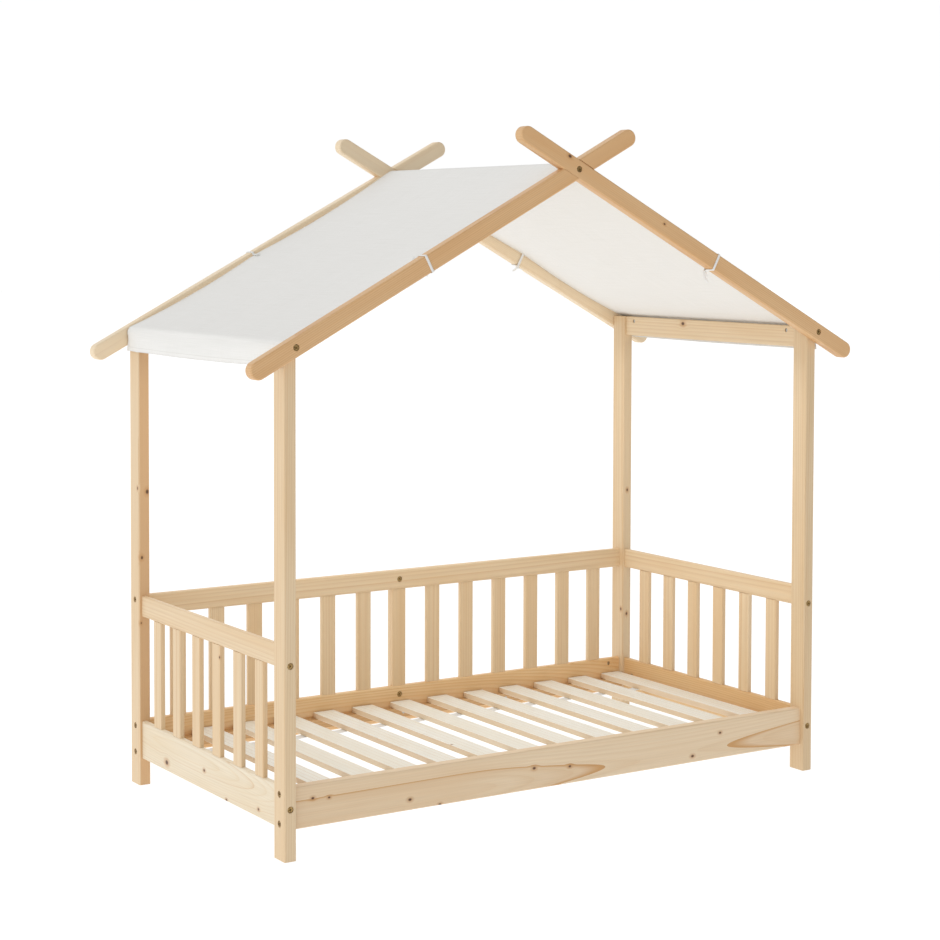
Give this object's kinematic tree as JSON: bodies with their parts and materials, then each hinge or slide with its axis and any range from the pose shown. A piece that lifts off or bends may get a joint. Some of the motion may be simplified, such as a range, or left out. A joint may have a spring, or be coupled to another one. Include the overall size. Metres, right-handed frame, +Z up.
{
  "type": "toddler bed",
  "caption": "Low slatted toddler bed with guard panels on its back and ends and a pitched roof frame that carries a cotton canopy.",
  "frame": {"origin": "on the floor at the middle of the bed, midway between the posts and midway between the gables", "axes": "+X along the bed to the right as seen from its open front, +Y across the bed to the slatted back panel, +Z up"},
  "size_m": [1.665, 0.859, 1.5762],
  "materials": {
    "pine": "clear satin lacquer on pine",
    "base_pine": "unfinished planed pine",
    "webbing": "woven polyester tape",
    "canopy_cotton": "plain woven white cotton",
    "tie_cloth": "white cotton tape",
    "bolt_steel": "yellow zinc plated",
    "nut_steel": "zinc plated",
    "screw_steel": "zinc plated",
    "beech": "plain beech dowel"
  },
  "bodies": {
    "frame": {"front_left_post": "pine", "front_left_rafter": "pine", "front_left_tie": "tie_cloth", "front_right_post": "pine", "front_right_rafter": "pine", "front_right_tie": "tie_cloth", "back_left_post": "pine", "back_left_rafter": "pine", "back_left_tie": "tie_cloth", "back_right_post": "pine", "back_right_rafter": "pine", "back_right_tie": "tie_cloth", "left_end_board": "pine", "left_guard_rail": "pine", "left_guard_slats": "pine", "left_roof_rail": "pine", "right_end_board": "pine", "right_guard_rail": "pine", "right_guard_slats": "pine", "right_roof_rail": "pine", "front_board": "pine", "back_board": "pine", "back_guard_rail": "pine", "back_guard_slats": "pine", "middle_support": "pine", "front_ledger": "pine", "back_ledger": "pine", "ridge_pole": "pine", "canopy": "canopy_cotton", "side_board_bolts": "bolt_steel", "end_panel_bolts": "bolt_steel", "rafter_bolts": "bolt_steel", "ridge_bolts": "bolt_steel", "support_bolts": "bolt_steel", "barrel_nuts": "nut_steel", "ledger_screws": "screw_steel", "roof_dowels": "beech"},
    "slat_base": {"base_slat_01": "base_pine", "base_slat_02": "base_pine", "base_slat_03": "base_pine", "base_slat_04": "base_pine", "base_slat_05": "base_pine", "base_slat_06": "base_pine", "base_slat_07": "base_pine", "base_slat_08": "base_pine", "base_slat_09": "base_pine", "base_slat_10": "base_pine", "base_slat_11": "base_pine", "base_slat_12": "base_pine", "base_slat_13": "base_pine", "front_slat_tape": "webbing", "back_slat_tape": "webbing"}
  },
  "joints": [
    {"name": "slat_base_lift", "type": "slide", "parent": "frame", "child": "slat_base", "axis": [0, 0, 1], "range_m": [0, 0.35]}
  ]
}
